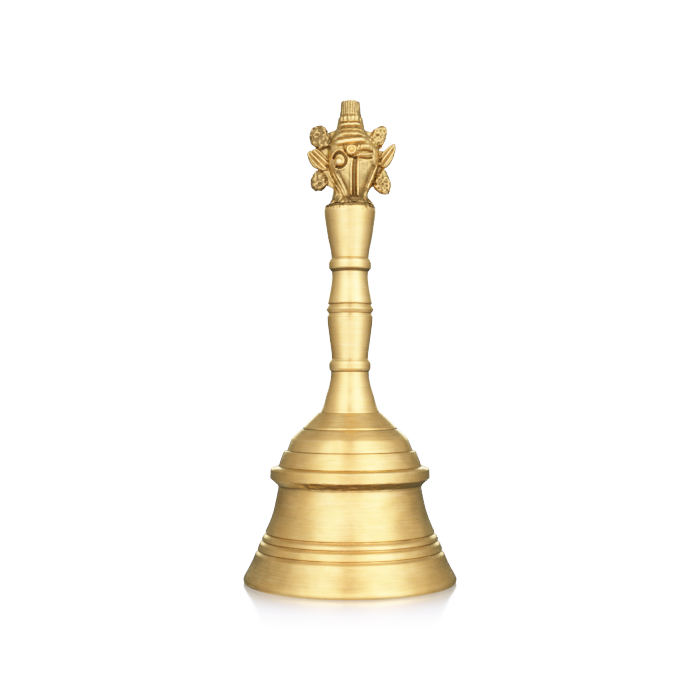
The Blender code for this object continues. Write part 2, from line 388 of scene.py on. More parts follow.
def leaf_outline(points, x, z):
    """Signed distance to a smooth closed outline in the XZ plane, over a flat grid."""
    p = [np.asarray(q, float) for q in points]
    n = len(p)
    loop = []
    for k in range(n):
        a, b, c, d = p[k - 1], p[k], p[(k + 1) % n], p[(k + 2) % n]
        for t in (0.0, 0.25, 0.5, 0.75):
            loop.append(0.5 * (2 * b + (c - a) * t + (2 * a - 5 * b + 4 * c - d) * t**2 + (3 * b - a - 3 * c + d) * t**3))
    best, sign = np.full(x.shape, 1e9), np.ones(x.shape)
    for k in range(len(loop)):
        a, b = loop[k], loop[(k + 1) % len(loop)]
        ex, ez = b - a
        wx, wz = x - a[0], z - a[1]
        t = np.clip((wx * ex + wz * ez) / (ex * ex + ez * ez + 1e-12), 0, 1)
        best = np.minimum(best, (wx - ex * t) ** 2 + (wz - ez * t) ** 2)
        c1, c2, c3 = z >= a[1], z < b[1], ex * wz > ez * wx
        flip = (c1 & c2 & c3) | (~c1 & ~c2 & ~c3)
        sign = np.where(flip, -sign, sign)
    return np.sqrt(best) * sign


def stroke(x, z, path, width, sharp=2.0):
    """From 0 to 1: how near a point is to a drawn line of this half width."""
    best = np.full(x.shape, 1e9)
    for (ax, az), (bx, bz) in zip(path, path[1:]):
        ex, ez = bx - ax, bz - az
        t = np.clip(((x - ax) * ex + (z - az) * ez) / (ex * ex + ez * ez + 1e-12), 0, 1)
        best = np.minimum(best, (x - ax - ex * t) ** 2 + (z - az - ez * t) ** 2)
    return np.exp(-((np.sqrt(best) / width) ** sharp))


def curve(points, per=6):
    return [tuple(q) for q in spline(points, per)]


# ---- materials ---------------------------------------------------------------------------------
def node(tree, kind, sockets=None, **settings):
    n = tree.nodes.new(kind)
    for key, value in settings.items():
        setattr(n, key, value)
    for key, value in (sockets or {}).items():
        s = n.inputs[key]
        if isinstance(value, bpy.types.NodeSocket):
            tree.links.new(value, s)
        else:
            s.default_value = value
    return n


def maths(tree, what, a, b=0.0, c=0.0, clamp=False):
    return node(tree, "ShaderNodeMath", {0: a, 1: b, 2: c}, operation=what, use_clamp=clamp).outputs[0]


def between(tree, value, low, high, to_low=0.0, to_high=1.0):
    return node(tree, "ShaderNodeMapRange",
                {"Value": value, "From Min": low, "From Max": high, "To Min": to_low, "To Max": to_high},
                interpolation_type="SMOOTHSTEP").outputs["Result"]


def blend(tree, share, a, b, how="MIX"):
    n = tree.nodes.new("ShaderNodeMix")
    n.data_type, n.blend_type, n.clamp_factor = "RGBA", how, True
    for key, value in ((0, share), (6, a), (7, b)):
        if isinstance(value, bpy.types.NodeSocket):
            tree.links.new(value, n.inputs[key])
        else:
            n.inputs[key].default_value = value if not isinstance(value, tuple) else (*value, 1.0)
    return n.outputs[2]


def pattern(tree, where, scale, detail=3.0, rough=0.55, bend=0.0):
    return node(tree, "ShaderNodeTexNoise",
                {"Vector": where, "Scale": scale, "Detail": detail, "Roughness": rough, "Distortion": bend}).outputs["Fac"]


def start(name):
    m = bpy.data.materials.new(name)
    m.use_nodes = True
    m.node_tree.nodes.clear()
    return m, m.node_tree


def finish_metal(tree, colour, roughness, height, distance, anisotropic=0.0, strength=1.0):
    bump = node(tree, "ShaderNodeBump", {"Strength": strength, "Distance": distance, "Height": height})
    sockets = {"Base Color": colour, "Metallic": 1.0, "Roughness": roughness, "Normal": bump.outputs[0],
               "Specular Tint": (0.88, 0.96, 0.72, 1.0)}
    if anisotropic:
        sockets["Anisotropic"] = anisotropic
        sockets["Anisotropic Rotation"] = 0.25
        sockets["Tangent"] = node(tree, "ShaderNodeTangent", direction_type="RADIAL", axis="Z").outputs[0]
    surface = node(tree, "ShaderNodeBsdfPrincipled", sockets)
    node(tree, "ShaderNodeOutputMaterial", {"Surface": surface.outputs[0]})


def turned_brass(name, clean=(0.94, 0.550, 0.188), deep=(0.85, 0.450, 0.128), lines=1.0, rough=0.26, anisotropic=0.6):
    """Lathe-turned brass: fine lines round the axis, soft cloudy patches, dark brown left in creases."""
    m, t = start(name)
    ring = node(t, "ShaderNodeAttribute", attribute_name="ring").outputs["Vector"]
    cavity = node(t, "ShaderNodeAttribute", attribute_name="cavity").outputs["Fac"]
    where = node(t, "ShaderNodeTexCoord").outputs["Object"]
    patches = pattern(t, where, 95.0, 2.0, 0.5, 0.4)
    small = pattern(t, where, 420.0, 3.0, 0.6)
    wide_lines = pattern(t, ring, 0.8, 2.0, 0.5)
    fine_lines = pattern(t, ring, 2.4, 5.0, 0.7)
    stain = pattern(t, where, 260.0, 4.0, 0.65, 0.8)
    brushed = node(t, "ShaderNodeMapping", {"Vector": where, "Scale": (95.0, 95.0, 2600.0)}).outputs[0]
    strokes = pattern(t, brushed, 1.0, 4.0, 0.62)
    mottle = pattern(t, node(t, "ShaderNodeMapping", {"Vector": where, "Scale": (1.0, 1.0, 1.7)}).outputs[0], 135.0, 4.0, 0.62, 0.5)
    colour = blend(t, between(t, patches, 0.36, 0.68), clean, deep)
    colour = blend(t, maths(t, "MULTIPLY", between(t, mottle, 0.42, 0.64), 0.50 * lines), colour, (0.52, 0.305, 0.088))
    colour = blend(t, maths(t, "MULTIPLY", between(t, strokes, 0.46, 0.70), 0.40 * lines), colour, (0.56, 0.325, 0.095))
    colour = blend(t, maths(t, "MULTIPLY", between(t, strokes, 0.48, 0.30), 0.40), colour, (1.0, 0.70, 0.34))
    colour = blend(t, maths(t, "MULTIPLY", between(t, wide_lines, 0.36, 0.68), 0.55), colour, deep)
    colour = blend(t, maths(t, "MULTIPLY", between(t, fine_lines, 0.44, 0.70), 0.30 * lines), colour, (0.66, 0.34, 0.085))
    grime = between(t, maths(t, "MULTIPLY", cavity, maths(t, "ADD", 0.62, maths(t, "MULTIPLY", stain, 0.9))), 0.22, 0.90)
    colour = blend(t, maths(t, "MULTIPLY", grime, 0.92), colour, (0.105, 0.064, 0.020))
    r = maths(t, "ADD", rough - 0.10, maths(t, "MULTIPLY", patches, 0.12))
    r = maths(t, "ADD", r, maths(t, "MULTIPLY", fine_lines, 0.06))
    r = maths(t, "ADD", r, maths(t, "MULTIPLY", small, 0.04))
    r = maths(t, "ADD", r, maths(t, "MULTIPLY", grime, 0.22), clamp=True)
    height = maths(t, "ADD", maths(t, "MULTIPLY", fine_lines, 1.3 * lines),
                   maths(t, "ADD", maths(t, "MULTIPLY", wide_lines, 2.6 * lines),
                        maths(t, "ADD", maths(t, "MULTIPLY", small, 0.9), maths(t, "MULTIPLY", strokes, 2.2 * lines))))
    finish_metal(t, colour, r, height, 0.000014, anisotropic)
    return m


def cast_brass(name, clean=(0.71, 0.430, 0.146), mid=(0.355, 0.232, 0.080), dark=(0.122, 0.075, 0.028), rough=0.33,
               grain=1.0, depth=1.0):
    """Brass as it left the mould and was brushed: crests brushed bright and painted lighter as a highlight, dark brown
    hollows, fine grain.
    """
    m, t = start(name)
    cavity = node(t, "ShaderNodeAttribute", attribute_name="cavity").outputs["Fac"]
    crest = node(t, "ShaderNodeAttribute", attribute_name="crest").outputs["Fac"]
    where = node(t, "ShaderNodeTexCoord").outputs["Object"]
    patches = pattern(t, where, 230.0, 3.0, 0.55, 0.5)
    grains = pattern(t, where, 1900.0, 3.0, 0.65)
    fine = pattern(t, where, 5200.0, 2.0, 0.6)
    pits = node(t, "ShaderNodeTexVoronoi", {"Vector": where, "Scale": 1500.0, "Randomness": 1.0}).outputs["Distance"]
    colour = blend(t, between(t, patches, 0.35, 0.68), clean, (0.52, 0.310, 0.094))
    grime = maths(t, "MULTIPLY", cavity, maths(t, "ADD", 0.80, maths(t, "MULTIPLY", grains, 0.5)))
    stain = between(t, grime, 0.02, 0.60)
    colour = blend(t, maths(t, "MULTIPLY", stain, 0.80 * depth), colour, mid)
    grime = between(t, grime, 0.34, 1.10)
    colour = blend(t, maths(t, "MULTIPLY", grime, 0.90 * depth), colour, dark)
    specks = maths(t, "MULTIPLY", between(t, grains, 0.56, 0.72), between(t, crest, 0.5, 0.1, 0.0, 0.45))
    colour = blend(t, specks, colour, (0.34, 0.19, 0.055))
    # the crests' lighter colour: partly brushed-bright brass, partly a painted highlight on the ridges
    colour = blend(t, maths(t, "MULTIPLY", between(t, crest, 0.10, 0.55), 0.75), colour, (1.0, 0.66, 0.27))
    r = maths(t, "ADD", rough - 0.05, maths(t, "MULTIPLY", grains, 0.16))
    r = maths(t, "ADD", r, maths(t, "MULTIPLY", grime, 0.20))
    r = maths(t, "SUBTRACT", r, maths(t, "MULTIPLY", crest, 0.10), clamp=True)
    height = maths(t, "ADD", maths(t, "MULTIPLY", grains, 1.6 * grain),
                   maths(t, "ADD", maths(t, "MULTIPLY", fine, 0.5 * grain), maths(t, "MULTIPLY", pits, 0.6 * grain)))
    finish_metal(t, colour, r, height, 0.00004)
    return m


def drawn_wire(name):
    """Drawn brass wire, a little dulled: long faint scores and brown spots."""
    m, t = start(name)
    where = node(t, "ShaderNodeTexCoord").outputs["Object"]
    cavity = node(t, "ShaderNodeAttribute", attribute_name="cavity").outputs["Fac"]
    spots = pattern(t, where, 700.0, 4.0, 0.6, 0.6)
    scores = pattern(t, node(t, "ShaderNodeMapping", {"Vector": where, "Scale": (1.0, 1.0, 0.18)}).outputs[0], 2600.0, 3.0, 0.6)
    colour = blend(t, between(t, spots, 0.42, 0.72), (0.80, 0.52, 0.165), (0.46, 0.26, 0.07))
    colour = blend(t, maths(t, "MULTIPLY", between(t, cavity, 0.1, 0.8), 0.8), colour, (0.20, 0.11, 0.035))
    r = maths(t, "ADD", 0.26, maths(t, "MULTIPLY", spots, 0.22), clamp=True)
    finish_metal(t, colour, r, maths(t, "ADD", scores, spots), 0.00001)
    return m


def plated_steel(name):
    """Dull zinc plating: pale grey with mottled spangle and a few brown stains."""
    m, t = start(name)
    where = node(t, "ShaderNodeTexCoord").outputs["Object"]
    cavity = node(t, "ShaderNodeAttribute", attribute_name="cavity").outputs["Fac"]
    mottle = pattern(t, where, 900.0, 4.0, 0.6, 0.7)
    stains = pattern(t, where, 320.0, 3.0, 0.6, 0.3)
    colour = blend(t, between(t, mottle, 0.38, 0.66), (0.60, 0.60, 0.58), (0.42, 0.42, 0.41))
    colour = blend(t, maths(t, "MULTIPLY", between(t, stains, 0.56, 0.76), 0.6), colour, (0.24, 0.15, 0.08))
    colour = blend(t, maths(t, "MULTIPLY", between(t, cavity, 0.1, 0.8), 0.85), colour, (0.10, 0.085, 0.07))
    r = maths(t, "ADD", 0.30, maths(t, "MULTIPLY", mottle, 0.25), clamp=True)
    finish_metal(t, colour, r, maths(t, "ADD", mottle, maths(t, "MULTIPLY", stains, 0.5)), 0.00002)
    return m


brass = turned_brass("turned_brass")
handle_brass = turned_brass("turned_brass_handle", clean=(0.985, 0.594, 0.210), deep=(0.92, 0.51, 0.155), lines=0.5, rough=0.26)
bob_brass = turned_brass("turned_brass_clapper", clean=(0.86, 0.49, 0.150), deep=(0.70, 0.36, 0.09), lines=1.5, rough=0.36)
cast = cast_brass("cast_brass")
skin = cast_brass("cast_brass_inside", clean=(0.70, 0.38, 0.105), mid=(0.42, 0.21, 0.06), dark=(0.18, 0.09, 0.028), rough=0.48, grain=1.4, depth=0.8)
wire = drawn_wire("brass_wire")
steel = plated_steel("plated_steel")


def place(obj, body, slot, materials, *nodes):
    for m in materials:
        obj.data.materials.append(m)
    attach(obj, body)
    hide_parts(*nodes)
    return obj


# ---- bell cup ----------------------------------------------------------------------------------
def groove(top_r, top_z, foot_r, foot_z, depth=0.48):
    """A turned groove: a steep cut at its upper edge and a long slope back out."""
    lean = math.atan2(foot_r - top_r, top_z - foot_z)
    out = (math.cos(lean), math.sin(lean))

    def at(share, down):
        return (top_r + (foot_r - top_r) * share - out[0] * down, top_z - (top_z - foot_z) * share - out[1] * down)

    return [(top_r, top_z, 0.06), (*at(0.09, depth * 0.9), 0.05), at(0.24, depth), at(0.42, depth * 0.80), at(0.66, depth * 0.36),
            (foot_r, foot_z, 0.10)]


cup_outside = [
    (2.9, 58.1, 0.12), (10.95, 58.1, 0.22),
    (13.6, 55.62), (16.22, 53.05, 0.16), (16.36, 52.46, 0.05), (16.98, 52.3, 0.12),
    (17.5, 51.86), (18.25, 51.14), (19.15, 50.27), (20.12, 49.12, 0.40),
    (20.95, 47.1), (21.72, 45.12, 0.05), (22.74, 44.96, 0.14),
    (23.06, 44.3, 0.10), (23.62, 42.9), (24.2, 41.2), (24.66, 39.72, 0.06),
    (26.75, 39.42, 0.5), (27.4, 38.75, 0.34),
    (27.53, 35.55, 0.22, 0.26),
    (25.15, 33.42, 0.10), (24.8, 32.7),
    (24.82, 31.9), (25.1, 30.2), (25.7, 27.2), (26.75, 23.1), (28.35, 19.0),
    *groove(29.12, 17.36, 29.9, 15.82),
    *groove(30.35, 14.86, 31.0, 13.42),
    *groove(31.8, 11.5, 32.5, 9.98),
    (33.8, 7.0), (35.0, 4.7), (36.42, 2.15), (36.75, 1.25), (36.6, 0.45), (36.25, 0.1),
    (35.8, 0.0, 0.1),
]
cup_inside = [
    (33.0, 0.0, 0.2), (32.6, 0.5, 0.3),
    (30.2, 6.4), (28.7, 9.9), (26.7, 14.6), (24.9, 19.6), (23.5, 25.0), (22.5, 30.5),
    (22.0, 35.5), (21.3, 40.0), (19.6, 44.4), (16.9, 48.0), (13.2, 51.2), (9.4, 53.1),
    (6.6, 54.0, 0.3), (2.9, 54.0, 0.12),
]
OUTSIDE = np.array([q[:2] for q in cup_outside])


def cup_shape(v, r, z, angle):
    """Uncut casting skin under the flange, very slight waviness elsewhere, and a rough inside."""
    ca, sa = np.cos(angle), np.sin(angle)
    wall = np.interp(z, OUTSIDE[::-1, 1], OUTSIDE[::-1, 0])
    outer = (r > wall - 1.2) | (z > 55)
    more = np.zeros(len(v))
    # the lathe cleaned the bevel on the left and left the skin on it from the middle round to the right
    front = np.degrees(np.arctan2(ca, -sa))  # 0 at the front, 90 at the right
    turn = (front + 360) % 360
    raw = step(turn, 296, 344) + (1 - step(turn, 222, 250)) * (turn < 290)
    raw = np.clip(raw, 0, 1)
    zone = step(z, 33.05, 33.7) * (1 - step(z, 35.3, 35.75)) * outer
    q = np.column_stack([v[:, 0], v[:, 1], v[:, 2] * 2.4])
    lump = cloud(q, 2.3, 11) * 0.55 + cloud(q, 0.9, 12, 2) * 0.35
    lump = lump - 0.30
    shift = zone * raw * np.clip(lump, -0.85, 0.25) * 0.75
    shift = shift + zone * (1 - raw) * cloud(q, 1.5, 13) * 0.04
    streak = cloud(np.column_stack([v[:, 0] / 2.6, v[:, 1] / 2.6, v[:, 2] / 0.8]), 1.0, 19, 3)
    dark = 0.80 + 0.20 * step(front, 5, 60) - lump * 0.25 - streak * 0.55
    more = more + zone * (raw * np.clip(dark, 0.35, 1.0) + (1 - raw) * 0.38)
    more = more + 0.5 * step(z, 32.75, 33.0) * (1 - step(z, 33.35, 33.5)) * outer * (1 - 0.4 * raw)
    # the lower edge of the flange is a little ragged where the skin was left
    edge = step(z, 35.2, 35.5) * (1 - step(z, 35.6, 36.3)) * outer
    shift = shift - edge * raw * np.clip(cloud(q, 1.4, 14) + 0.1, 0, 1) * 0.22
    # hand-polished waviness
    calm = outer * (1 - zone)
    long = np.column_stack([v[:, 0] / 10, v[:, 1] / 10, v[:, 2] / 7])
    shift = shift + calm * (cloud(long, 1.0, 15, 2) * 0.19 + cloud(np.column_stack([v[:, 0], v[:, 1], v[:, 2] * 1.6]), 4.0, 20, 2) * 0.022)
    inner = ~outer
    shift = shift + inner * (cloud(v, 3.0, 16) * 0.10 + noise(v, 0.9, 17) * 0.03)
    foot = step(z, 0.0, 0.8)
    shift = shift * foot
    v = v + np.column_stack([ca * shift, sa * shift, 0 * shift - np.abs(zone * raw * lump) * 0.05])
    more = more + 0.40 * (z > 57.9) * (r > 9.5) * (1 - step(r, 10.25, 10.6))  # the joint under the handle's foot
    patchy = cloud(np.column_stack([ca * 5, sa * 5, z / 3]), 1.0, 27, 2)
    more = more - (0.15 + 0.14 * patchy) * outer * ((z > 9.8) & (z < 17.6))  # the grooves were polished too
    for at, much in ((52.42, 0.40), (45.03, 0.42), (39.66, 0.12)):  # polish left in the corners of the steps, with painted shade in those corners
        more = more + much * np.exp(-((z - at) / 0.16) ** 2) * outer
    more = more + inner * np.clip(0.25 + cloud(v, 5.0, 18) * 0.4, 0, 1)
    return v, more


cup = turned("cup", cup_outside + cup_inside, 256, True, cup_shape,
             inside=lambda r, z: z < 54.6 and r < np.interp(z, OUTSIDE[::-1, 1], OUTSIDE[::-1, 0]) - 1.0 and z > 0.3,
             widest=0.75, first=0.06)
place(cup, "bell", "turned_brass", [brass, skin], "bell_cup")

# ---- handle ------------------------------------------------------------------------------------
handle_outside = [
    (2.8, 129.6, 0.1, 0.5), (7.7, 129.6, 0.25, 0.22), (8.55, 129.05), (8.88, 128.35), (8.97, 127.5), (8.9, 126.3, 0.5),
    (8.4, 122.9), (7.75, 118.7), (6.9, 114.5), (6.58, 112.2), (6.5, 111.15, 0.05),
    (6.72, 110.9, 0.08), (7.22, 110.25, 0.16), (7.39, 109.5, 0.16), (7.36, 107.72, 0.24), (6.36, 106.5, 0.06),
    (6.28, 104.9), (6.55, 102.1), (7.0, 99.3), (7.5, 96.7), (7.74, 95.75, 0.14),
    (7.34, 95.14, 0.05), (7.98, 94.06, 0.12), (8.24, 93.55, 0.18), (7.98, 93.0, 0.12), (7.42, 92.12, 0.06),
    (7.86, 91.2, 0.10), (7.96, 90.92, 0.06), (7.86, 90.72, 0.05), (7.84, 89.6),
    (7.5, 86.3), (6.95, 82.2), (6.45, 78.4), (6.34, 76.62, 0.05),
    (6.62, 76.1, 0.10), (7.1, 75.42, 0.16), (7.25, 74.7, 0.14), (7.22, 73.15, 0.24), (6.6, 72.05, 0.06),
    (6.75, 69.8), (7.35, 67.0), (8.2, 64.2), (9.1, 60.9), (9.72, 59.3), (10.12, 58.45), (10.2, 58.12, 0.04),
]


def handle_shape(v, r, z, angle):
    """The unfinished top edge, where the finial was set: chipped, pitted and uneven."""
    ca, sa = np.cos(angle), np.sin(angle)
    front = np.degrees(np.arctan2(ca, -sa))
    outer = r > 5.5
    near_top = step(z, 127.4, 129.0) * outer
    q = np.column_stack([v[:, 0], v[:, 1], v[:, 2]])
    chips = cloud(q, 1.9, 21, 3)
    fine = cloud(q, 0.75, 22, 2)
    # the rim is low at the left of the front and high at its right
    lean = 0.30 * np.sin(np.radians(front - 20)) + 0.25 * noise(np.column_stack([ca * 3.2, sa * 3.2, 0 * ca]), 1.0, 23)
    sink = near_top * (lean * 0.5 - 0.22 + chips * 0.75 + fine * 0.25)
    pull = near_top * (np.clip(-chips - 0.02, 0, 1) * -1.5 + fine * 0.18) * (r > 7.2)
    pits = step(fine + 0.5 * chips, 0.26, 0.5) * step(z, 125.9, 127.6) * (1 - step(z, 129.0, 129.4)) * outer
    pull = pull - pits * 0.24 * step(noise(q, 3.0, 24), -0.25, 0.35)
    long = np.column_stack([v[:, 0] / 6, v[:, 1] / 6, v[:, 2] / 7])
    pull = pull + outer * (1 - near_top) * cloud(long, 1.0, 25, 2) * 0.05
    inward = np.column_stack([ca * pull, sa * pull, np.minimum(sink, 0.15) * step(z, 127.6, 129.5)])
    more = near_top * np.clip(0.95 - chips * 1.3 - fine * 0.6, 0, 1) * 1.0 + pits * 0.55 + 0.35 * step(z, 128.4, 129.2) * outer
    more = more + step(z, 129.2, 129.55) * 0.35 * outer
    under = 1.15 * step(z, 106.15, 106.45) * (1 - step(z, 107.2, 107.75)) + 0.72 * step(z, 71.8, 72.05) * (1 - step(z, 72.5, 73.0))
    more = more + under * 0.75 * outer - 0.5 * step(z, 94.2, 94.7) * (1 - step(z, 95.0, 95.3)) * outer
    more = more + 0.45 * step(z, 95.05, 95.3) * (1 - step(z, 95.6, 95.75)) * outer + 0.35 * step(z, 92.1, 92.4) * (1 - step(z, 92.9, 93.3)) * outer
    more = more + outer * (1 - step(z, 58.14, 58.3)) * 0.3
    bore = (r < 5.0) & outer == False
    return v + inward, more * outer + 0.0 * bore


handle = turned("grip", [(0.0, 119.5, 0.0), (2.8, 119.5, 0.1)] + handle_outside
                + [(2.8, 58.12, 0.1), (2.8, 71.0, 0.1), (0.0, 71.0, 0.0)],
                172, False, handle_shape, widest=0.42, first=0.05)
place(handle, "bell", "turned_brass", [handle_brass], "handle")

# ---- finial ------------------------------------------------------------------------------------
LOBES = [  # outline in X and Z, half thickness, how deep its granulation is
    ([(-7.3, 154.6), (-8.5, 156.05), (-9.9, 156.9), (-11.2, 156.8), (-12.6, 156.4), (-13.6, 155.2), (-14.05, 153.2),
      (-13.7, 151.2), (-12.5, 149.8), (-11.0, 148.9), (-8.8, 148.6), (-6.5, 150.6)], 1.95, 1.0),
    ([(7.6, 154.7), (9.2, 156.05), (10.9, 156.8), (12.35, 156.2), (12.8, 154.6), (12.5, 152.9), (11.75, 151.2),
      (11.0, 149.8), (9.1, 149.3), (7.0, 151.4)], 1.9, 1.0),
    ([(-11.6, 141.5), (-13.05, 139.5), (-13.65, 137.2), (-13.2, 135.5), (-11.9, 134.4), (-10.5, 134.3), (-9.0, 135.0),
      (-7.9, 136.5), (-7.6, 138.6), (-8.9, 140.4), (-10.3, 141.5)], 1.95, 1.0),
    ([(11.9, 141.8), (13.2, 139.5), (14.2, 137.0), (14.1, 134.8), (13.2, 133.5), (11.7, 133.2), (9.8, 134.0),
      (8.3, 135.5), (7.9, 137.5), (8.9, 139.5), (10.3, 141.4)], 2.0, 1.1),
]
LEAVES = [
    ([(-14.7, 147.7), (-14.7, 146.3), (-14.05, 144.3), (-12.7, 142.6), (-11.3, 141.9), (-9.0, 141.0), (-6.6, 141.8),
      (-6.6, 144.6), (-9.2, 147.2), (-11.0, 148.7), (-12.1, 149.0), (-13.3, 148.4)],
     [(-13.5, 147.2), (-8.6, 142.2)], 1.6),
    ([(15.3, 150.6), (15.85, 149.0), (15.25, 146.3), (14.05, 144.0), (12.5, 142.3), (10.4, 142.3), (9.0, 144.2),
      (10.3, 146.6), (11.75, 148.3), (13.7, 150.0)],
     [(14.9, 149.6), (10.6, 143.9)], 1.6),
]


RELIEF = {}


def on_relief(key, v):
    """The relief's height, or another flat map of it, at each vertex."""
    gx, gz, a = RELIEF["x"], RELIEF["z"], RELIEF[key]
    i = np.clip((v[:, 0] - gx[0]) / (gx[1] - gx[0]), 0, len(gx) - 1.001)
    k = np.clip((v[:, 2] - gz[0]) / (gz[1] - gz[0]), 0, len(gz) - 1.001)
    i0, k0 = i.astype(int), k.astype(int)
    fi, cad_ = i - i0, k - k0
    return ((a[i0, k0] * (1 - fi) + a[i0 + 1, k0] * fi) * (1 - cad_)
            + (a[i0, k0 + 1] * (1 - fi) + a[i0 + 1, k0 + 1] * fi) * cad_)


def finial_field(x, y, z):
    fx, fz = (a[:, 0, :].copy() for a in np.broadcast_arrays(x, z))
    g = (slice(None), None, slice(None))
    zz = z[0, 0]

    # neck and foot: round, with a ragged flare onto the handle
    neck_r = np.interp(zz, [129.6, 130.3, 131.1, 131.9, 133.2, 136, 140], [7.9, 7.3, 6.76, 6.38, 6.12, 5.9, 5.6])
    rad = np.sqrt((x - 0.15) ** 2 + (y * 1.04) ** 2)
    neck = np.maximum((rad - neck_r[None, None, :]) * 0.92, np.maximum(129.64 - z, z - 146))

    # head: a shield with a rounded front, wider above, drawn in towards the chin
    hz = [129.8, 132, 134, 136, 138, 140, 142, 144, 146, 148, 150, 152, 153.5]
    half = np.interp(zz, hz, [3.4, 4.2, 5.1, 6.1, 7.1, 8.0, 8.6, 8.9, 9.0, 8.8, 8.2, 7.0, 5.2])
    mid = np.interp(zz, hz, [1.2, 1.3, 1.35, 1.35, 1.35, 1.35, 1.35, 1.3, 1.25, 1.2, 1.0, 0.6, 0.3])
    thick = np.interp(zz, hz, [6.2, 6.5, 6.75, 6.9, 7.0, 7.0, 6.95, 6.85, 6.75, 6.6, 6.4, 6.0, 4.8])
    hx = np.abs((x - mid) / half)
    hy = np.abs(y / thick)
    head = ((hx**2.7 + hy**2.3) ** (1 / 2.5) - 1) * np.minimum(half, thick) * 0.95
    head = np.maximum(head, np.maximum(130.1 - z, (z - 153.2)))

    # turban and stub
    tz = [149.0, 149.6, 150.6, 151.6, 152.4, 154.4, 155.8, 157.6, 159.3, 159.9, 161.2, 163.4, 164.8, 165.3]
    tr = np.interp(zz, tz, [5.4, 6.4, 6.85, 6.75, 6.2, 5.35, 4.85, 4.6, 4.35, 3.80, 3.52, 3.38, 3.34, 3.15])
    round_r = np.sqrt((x - 0.2) ** 2 + (y * 1.06) ** 2)
    turban = np.maximum((round_r - tr) * 0.9, np.maximum(149.2 - z, z - 165.2))

    # webs between the head and the side ornaments
    web = join(ellipsoid(x, y, z, (0.0, 0.0, 150.5), (11.4, 1.5, 5.5)),
               ellipsoid(x, y, z, (0.2, 0.0, 140.9), (11.6, 1.5, 6.8)), 0.5)
    web = join(web, ellipsoid(x, y, z, (0.6, 0.0, 145.6), (12.2, 1.4, 5.5)), 0.5)
    d = join(neck, head, 0.35)
    d = join(d, turban, 0.30)
    d = join(d, web, 0.6)

    def plate(edge, t, rounding):
        a, b = edge + rounding, np.abs(y) - t + rounding
        return np.sqrt(np.maximum(a, 0) ** 2 + np.maximum(b, 0) ** 2) + np.minimum(np.maximum(a, b), 0) - rounding

    grains = np.zeros_like(fx)
    for points, t, amount in LOBES:
        edge = leaf_outline(points, fx, fz)
        d = join(d, plate(edge[g], t, min(t, 1.5)), 0.22)
        grains = np.maximum(grains, amount * step(-edge, -0.5, 0.25))
    marks = np.zeros_like(fx)
    for points, ridge, t in LEAVES:
        edge = leaf_outline(points, fx, fz)
        grains = grains * (1 - step(-edge, -0.2, 0.3))
        (ax, az), (bx, bz) = ridge[0], ridge[-1]
        long_side = math.hypot(bx - ax, bz - az)
        across = ((fx - ax) * (bz - az) - (fz - az) * (bx - ax)) / long_side
        along_leaf = ((fx - ax) * (bx - ax) + (fz - az) * (bz - az)) / long_side
        fan = 1.30 + 0.05 * along_leaf  # the ribs spread a little towards the head
        ribs = np.cos(across / fan * math.tau)
        rim = np.exp(-(((edge + 0.40) / 0.35) ** 2))
        marks = marks + step(-edge, -0.1, 0.6) * (0.40 * ribs * (1 - rim) + 0.25 * rim - 0.05)
        d = join(d, plate(edge[g], t, min(t, 1.2)), 0.20)
    # front relief of the mask
    h = np.zeros_like(fx)
    r = np.sqrt((fx - 0.55) ** 2 + (fz - 147.45) ** 2)
    h += 0.95 * np.exp(-(((r - 1.50) / 0.50) ** 2)) * (1 - 0.6 * step(fz, 148.3, 149.0))
    h += 1.10 * np.exp(-((r / 0.62) ** 4)) + 0.25 * (1 - step(r, 1.1, 1.7))
    h -= 0.45 * np.exp(-(((r - 2.30) / 0.30) ** 2)) * (1 - step(fz, 147.0, 148.2))
    h -= 0.55 * stroke(fx, fz, curve([(-2.3, 148.6), (-1.6, 146.9), (-0.5, 145.3), (0.9, 144.95)]), 0.36)
    h -= 0.50 * stroke(fx, fz, [(2.55, 149.0), (2.3, 147.2), (1.7, 145.9)], 0.28)
    h -= 0.45 * stroke(fx, fz, [(3.45, 149.2), (3.3, 147.7)], 0.24)
    curl = curve([(-5.55, 144.9), (-4.9, 146.0), (-3.9, 146.55), (-2.6, 146.15), (-1.6, 145.0), (-1.35, 143.6), (-1.9, 142.2),
                  (-3.3, 141.45), (-4.6, 141.8)])
    h -= 0.85 * stroke(fx, fz, curl, 0.46, 2.4)
    h += 0.35 * stroke(fx, fz, [(q[0] + (q[0] + 3.6) * 0.34, q[1] + (q[1] - 143.8) * 0.34) for q in curl], 0.42)
    ball = np.sqrt((fx + 3.9) ** 2 + (fz - 143.35) ** 2)
    h += 0.85 * np.exp(-((ball / 1.25) ** 4))
    # right-hand brow, two cuts and the ridge between them
    h += 0.42 * np.exp(-(((fx - 5.6) / 2.3) ** 4 + ((fz - 148.75) / 0.85) ** 2))
    h -= 0.70 * stroke(fx, fz, curve([(3.3, 147.1), (5.3, 147.3), (7.6, 147.0)]), 0.34)
    h += 0.50 * stroke(fx, fz, curve([(2.0, 145.2), (3.6, 145.8), (5.4, 145.75), (7.5, 146.15)]), 0.36)
    h -= 0.72 * stroke(fx, fz, curve([(1.5, 144.7), (4.0, 144.75), (6.0, 144.55), (7.4, 144.9)]), 0.34)
    # nose line: a flat-bottomed channel with a bright ridge on each side
    line_x = np.interp(fz, [131, 136, 141, 145], [1.55, 1.45, 1.5, 1.75])
    along = step(fz, 131.1, 132.0) * (1 - step(fz, 144.6, 145.3))
    h -= 0.52 * along * np.exp(-((np.abs(fx - line_x) / 0.60) ** 3.0))
    h += 0.45 * along * np.exp(-(((fx - line_x + 1.10) / 0.42) ** 2)) * (1 - step(fz, 142.5, 144.2))
    h += 0.45 * along * np.exp(-(((fx - line_x - 1.05) / 0.42) ** 2))
